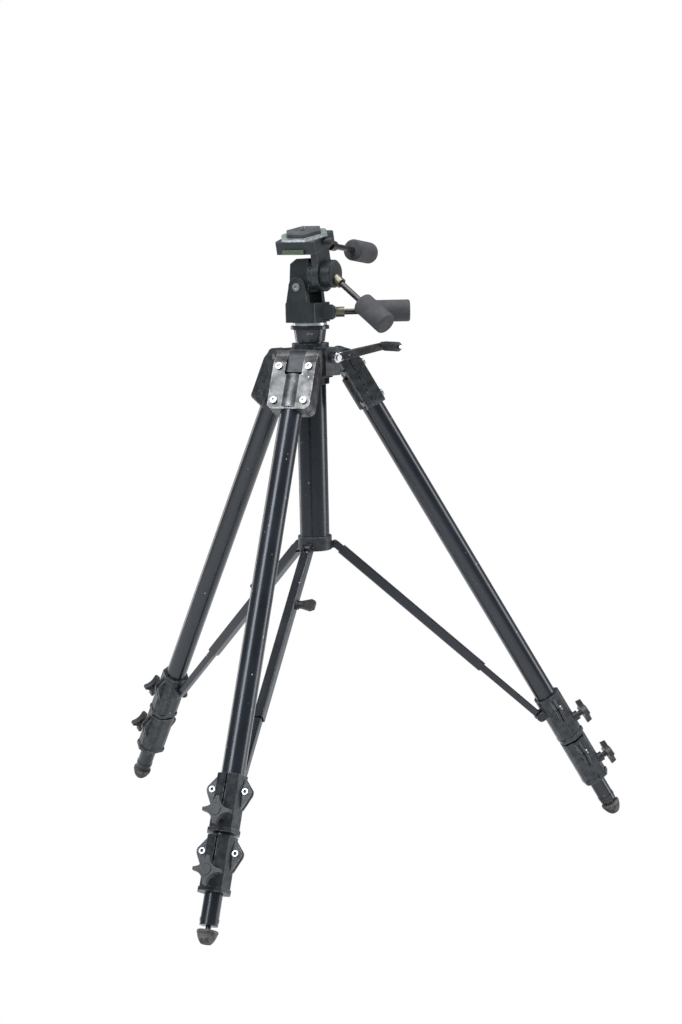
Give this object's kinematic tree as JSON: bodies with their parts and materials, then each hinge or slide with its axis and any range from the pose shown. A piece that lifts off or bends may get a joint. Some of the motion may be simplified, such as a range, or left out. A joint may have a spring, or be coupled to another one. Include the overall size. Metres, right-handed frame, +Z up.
{
  "type": "camera tripod with three-way head",
  "caption": "Full-size camera tripod with braced telescopic legs, a cranked centre column and a three-way pan and tilt head with a quick-release plate.",
  "frame": {"origin": "middle of the footprint, on the floor under the three feet", "axes": "+Z up; the front leg points along -Y; the column stands a quarter of the foot circle's radius behind the origin, towards +Y"},
  "size_m": [0.7768, 0.6762, 0.8641],
  "materials": {
    "black_tube": "gloss anodised black",
    "casting": "satin dark grey paint",
    "bright_steel": "bright",
    "foot_rubber": "matt",
    "black_plastic": "matt",
    "grip_rubber": "soft matt grip on a steel rod with a brass bushing",
    "crank_metal": "worn black",
    "vial_plastic": "clear green",
    "tray_metal": "bare satin",
    "pad_rubber": "matt pad"
  },
  "bodies": {
    "crown_body": {"crown": "casting", "column_sleeve": "black_tube", "brace_hub": "casting"},
    "front_leg": {"front_leg_bracket": "casting", "front_leg_bracket_fasteners": "bright_steel", "front_leg_upper_tube": "black_tube", "front_leg_upper_clamp": "casting"},
    "front_leg_middle": {"front_leg_middle_tube": "black_tube", "front_leg_lower_clamp": "casting"},
    "front_leg_lower": {"front_leg_lower_tube": "black_tube", "front_leg_foot": "foot_rubber"},
    "front_leg_upper_knob": {"front_leg_upper_knob": "black_plastic"},
    "front_leg_lower_knob": {"front_leg_lower_knob": "black_plastic"},
    "front_leg_brace": {"front_leg_brace_outer": "black_tube"},
    "front_leg_brace_rod": {"front_leg_brace_inner": "black_tube"},
    "front_leg_brace_knob": {"front_leg_brace_knob": "black_plastic"},
    "right_leg": {"right_leg_bracket": "casting", "right_leg_bracket_fasteners": "bright_steel", "right_leg_upper_tube": "black_tube", "right_leg_upper_clamp": "casting"},
    "right_leg_middle": {"right_leg_middle_tube": "black_tube", "right_leg_lower_clamp": "casting"},
    "right_leg_lower": {"right_leg_lower_tube": "black_tube", "right_leg_foot": "foot_rubber"},
    "right_leg_upper_knob": {"right_leg_upper_knob": "black_plastic"},
    "right_leg_lower_knob": {"right_leg_lower_knob": "black_plastic"},
    "right_leg_brace": {"right_leg_brace_outer": "black_tube"},
    "right_leg_brace_rod": {"right_leg_brace_inner": "black_tube"},
    "right_leg_brace_knob": {"right_leg_brace_knob": "black_plastic"},
    "left_leg": {"left_leg_bracket": "casting", "left_leg_bracket_fasteners": "bright_steel", "left_leg_upper_tube": "black_tube", "left_leg_upper_clamp": "casting"},
    "left_leg_middle": {"left_leg_middle_tube": "black_tube", "left_leg_lower_clamp": "casting"},
    "left_leg_lower": {"left_leg_lower_tube": "black_tube", "left_leg_foot": "foot_rubber"},
    "left_leg_upper_knob": {"left_leg_upper_knob": "black_plastic"},
    "left_leg_lower_knob": {"left_leg_lower_knob": "black_plastic"},
    "left_leg_brace": {"left_leg_brace_outer": "black_tube"},
    "left_leg_brace_rod": {"left_leg_brace_inner": "black_tube"},
    "left_leg_brace_knob": {"left_leg_brace_knob": "black_plastic"},
    "column": {"column_tube": "black_tube", "column_rack": "bright_steel", "column_platform": "casting", "head_base_ring": "bright_steel"},
    "crank": {"crank_shaft": "bright_steel", "crank_arm": "crank_metal"},
    "crank_grip": {"crank_grip": "black_plastic"},
    "pan": {"pan_housing": "casting"},
    "pan_handle": {"pan_handle": "grip_rubber"},
    "tilt": {"tilt_block": "casting"},
    "tilt_handle": {"tilt_handle": "grip_rubber"},
    "platform": {"platform": "casting", "level_vial": "vial_plastic", "quick_release_tray": "tray_metal"},
    "side_handle": {"side_handle": "grip_rubber"},
    "qr_lever": {"qr_lever": "black_plastic"},
    "quick_release": {"quick_release_plate": "pad_rubber"},
    "camera_screw": {"camera_screw": "bright_steel"}
  },
  "joints": [
    {"name": "front_leg_fold", "type": "hinge", "parent": "crown_body", "child": "front_leg", "pos_m": [0, 0.06338, 0.6859], "axis": [1, 0, 0], "range_deg": [0, 27]},
    {"name": "front_leg_brace_hinge", "type": "hinge", "parent": "crown_body", "child": "front_leg_brace", "pos_m": [0, 0.07888, 0.4235], "axis": [1, 0, 0], "range_deg": [0, 43.88]},
    {"name": "front_leg_brace_slide", "type": "slide", "parent": "front_leg_brace", "child": "front_leg_brace_rod", "axis": [0, 0.7399, 0.6727], "range_m": [0, 0.06104]},
    {"name": "front_leg_middle_slide", "type": "slide", "parent": "front_leg", "child": "front_leg_middle", "axis": [0, -0.5, -0.866], "range_m": [0, 0.4]},
    {"name": "front_leg_lower_slide", "type": "slide", "parent": "front_leg_middle", "child": "front_leg_lower", "axis": [0, -0.5, -0.866], "range_m": [0, 0.4]},
    {"name": "front_leg_upper_knob_turn", "type": "hinge", "parent": "front_leg", "child": "front_leg_upper_knob", "pos_m": [0, -0.25162, 0.14031], "axis": [0, -0.866, 0.5], "range_deg": [0, 270]},
    {"name": "front_leg_lower_knob_turn", "type": "hinge", "parent": "front_leg_middle", "child": "front_leg_lower_knob", "pos_m": [0, -0.28863, 0.07622], "axis": [0, -0.866, 0.5], "range_deg": [0, 270]},
    {"name": "front_leg_brace_knob_turn", "type": "hinge", "parent": "front_leg_brace", "child": "front_leg_brace_knob", "pos_m": [0, 0.00784, 0.35892], "axis": [1, 0, 0], "range_deg": [0, 180]},
    {"name": "right_leg_fold", "type": "hinge", "parent": "crown_body", "child": "right_leg", "pos_m": [0.03897, 0.13087, 0.6859], "axis": [-0.5, 0.866, 0], "range_deg": [0, 27]},
    {"name": "right_leg_brace_hinge", "type": "hinge", "parent": "crown_body", "child": "right_leg_brace", "pos_m": [0.02555, 0.12312, 0.4235], "axis": [-0.5, 0.866, 0], "range_deg": [0, 43.88]},
    {"name": "right_leg_brace_slide", "type": "slide", "parent": "right_leg_brace", "child": "right_leg_brace_rod", "axis": [-0.6408, -0.37, 0.6727], "range_m": [0, 0.06104]},
    {"name": "right_leg_middle_slide", "type": "slide", "parent": "right_leg", "child": "right_leg_middle", "axis": [0.433, 0.25, -0.866], "range_m": [0, 0.4]},
    {"name": "right_leg_lower_slide", "type": "slide", "parent": "right_leg_middle", "child": "right_leg_lower", "axis": [0.433, 0.25, -0.866], "range_m": [0, 0.4]},
    {"name": "right_leg_upper_knob_turn", "type": "hinge", "parent": "right_leg", "child": "right_leg_upper_knob", "pos_m": [0.31177, 0.28837, 0.14031], "axis": [0.75, 0.433, 0.5], "range_deg": [0, 270]},
    {"name": "right_leg_lower_knob_turn", "type": "hinge", "parent": "right_leg_middle", "child": "right_leg_lower_knob", "pos_m": [0.34381, 0.30688, 0.07622], "axis": [0.75, 0.433, 0.5], "range_deg": [0, 270]},
    {"name": "right_leg_brace_knob_turn", "type": "hinge", "parent": "right_leg_brace", "child": "right_leg_brace_knob", "pos_m": [0.08707, 0.15864, 0.35892], "axis": [-0.5, 0.866, 0], "range_deg": [0, 180]},
    {"name": "left_leg_fold", "type": "hinge", "parent": "crown_body", "child": "left_leg", "pos_m": [-0.03897, 0.13087, 0.6859], "axis": [-0.5, -0.866, 0], "range_deg": [0, 27]},
    {"name": "left_leg_brace_hinge", "type": "hinge", "parent": "crown_body", "child": "left_leg_brace", "pos_m": [-0.02555, 0.12312, 0.4235], "axis": [-0.5, -0.866, 0], "range_deg": [0, 43.88]},
    {"name": "left_leg_brace_slide", "type": "slide", "parent": "left_leg_brace", "child": "left_leg_brace_rod", "axis": [0.6408, -0.37, 0.6727], "range_m": [0, 0.06104]},
    {"name": "left_leg_middle_slide", "type": "slide", "parent": "left_leg", "child": "left_leg_middle", "axis": [-0.433, 0.25, -0.866], "range_m": [0, 0.4]},
    {"name": "left_leg_lower_slide", "type": "slide", "parent": "left_leg_middle", "child": "left_leg_lower", "axis": [-0.433, 0.25, -0.866], "range_m": [0, 0.4]},
    {"name": "left_leg_upper_knob_turn", "type": "hinge", "parent": "left_leg", "child": "left_leg_upper_knob", "pos_m": [-0.31177, 0.28837, 0.14031], "axis": [-0.75, 0.433, 0.5], "range_deg": [0, 270]},
    {"name": "left_leg_lower_knob_turn", "type": "hinge", "parent": "left_leg_middle", "child": "left_leg_lower_knob", "pos_m": [-0.34381, 0.30688, 0.07622], "axis": [-0.75, 0.433, 0.5], "range_deg": [0, 270]},
    {"name": "left_leg_brace_knob_turn", "type": "hinge", "parent": "left_leg_brace", "child": "left_leg_brace_knob", "pos_m": [-0.08707, 0.15864, 0.35892], "axis": [-0.5, -0.866, 0], "range_deg": [0, 180]},
    {"name": "column_lift", "type": "slide", "parent": "crown_body", "child": "column", "axis": [0, 0, 1], "range_m": [0, 0.21]},
    {"name": "crank_turn", "type": "hinge", "parent": "crown_body", "child": "crank", "pos_m": [0, 0.10837, 0.687], "axis": [0.866, -0.5, 0], "range_deg": [-1926.14, 0]},
    {"name": "crank_grip_spin", "type": "hinge", "parent": "crank", "child": "crank_grip", "pos_m": [0.10699, 0.10076, 0.70134], "axis": [0.866, -0.5, 0], "continuous": true},
    {"name": "pan_turn", "type": "hinge", "parent": "column", "child": "pan", "pos_m": [0, 0.10837, 0.7335], "axis": [0, 0, 1], "continuous": true},
    {"name": "pan_handle_turn", "type": "hinge", "parent": "pan", "child": "pan_handle", "pos_m": [0.02515, 0.11643, 0.7465], "axis": [0.9444, 0.3289, 0], "range_deg": [0, 120]},
    {"name": "side_tilt", "type": "hinge", "parent": "pan", "child": "tilt", "pos_m": [-0.00492, 0.10926, 0.782], "axis": [-0.1771, -0.9842, 0], "range_deg": [0, 90]},
    {"name": "tilt_handle_turn", "type": "hinge", "parent": "tilt", "child": "tilt_handle", "pos_m": [0.0374, 0.10165, 0.796], "axis": [0.7556, -0.3412, -0.5592], "range_deg": [0, 120]},
    {"name": "front_tilt", "type": "hinge", "parent": "tilt", "child": "platform", "pos_m": [0, 0.10837, 0.799], "axis": [0.9842, -0.1771, 0], "range_deg": [-30, 75]},
    {"name": "side_handle_turn", "type": "hinge", "parent": "platform", "child": "side_handle", "pos_m": [0.02413, 0.11826, 0.838], "axis": [0.1758, 0.9769, -0.1219], "range_deg": [0, 120]},
    {"name": "qr_lever_turn", "type": "hinge", "parent": "platform", "child": "qr_lever", "pos_m": [0.02904, 0.09189, 0.84344], "axis": [0.9842, -0.1771, 0], "range_deg": [0, 90]},
    {"name": "plate_lift", "type": "slide", "parent": "platform", "child": "quick_release", "axis": [-0.0428, -0.2381, 0.9703], "range_m": [0, 0.03]},
    {"name": "camera_screw_turn", "type": "hinge", "parent": "quick_release", "child": "camera_screw", "pos_m": [-0.00115, 0.09354, 0.85838], "axis": [-0.0428, -0.2381, 0.9703], "continuous": true}
  ],
  "couplings": [
    {"joint": "front_leg_brace_hinge", "follows": "front_leg_fold", "ratio": 1.6176},
    {"joint": "front_leg_brace_slide", "follows": "front_leg_fold", "m_per_rad": 0.12869},
    {"joint": "right_leg_brace_hinge", "follows": "right_leg_fold", "ratio": 1.6176},
    {"joint": "right_leg_brace_slide", "follows": "right_leg_fold", "m_per_rad": 0.12869},
    {"joint": "left_leg_brace_hinge", "follows": "left_leg_fold", "ratio": 1.6176},
    {"joint": "left_leg_brace_slide", "follows": "left_leg_fold", "m_per_rad": 0.12869},
    {"joint": "crank_turn", "follows": "column_lift", "rad_per_m": -160}
  ]
}
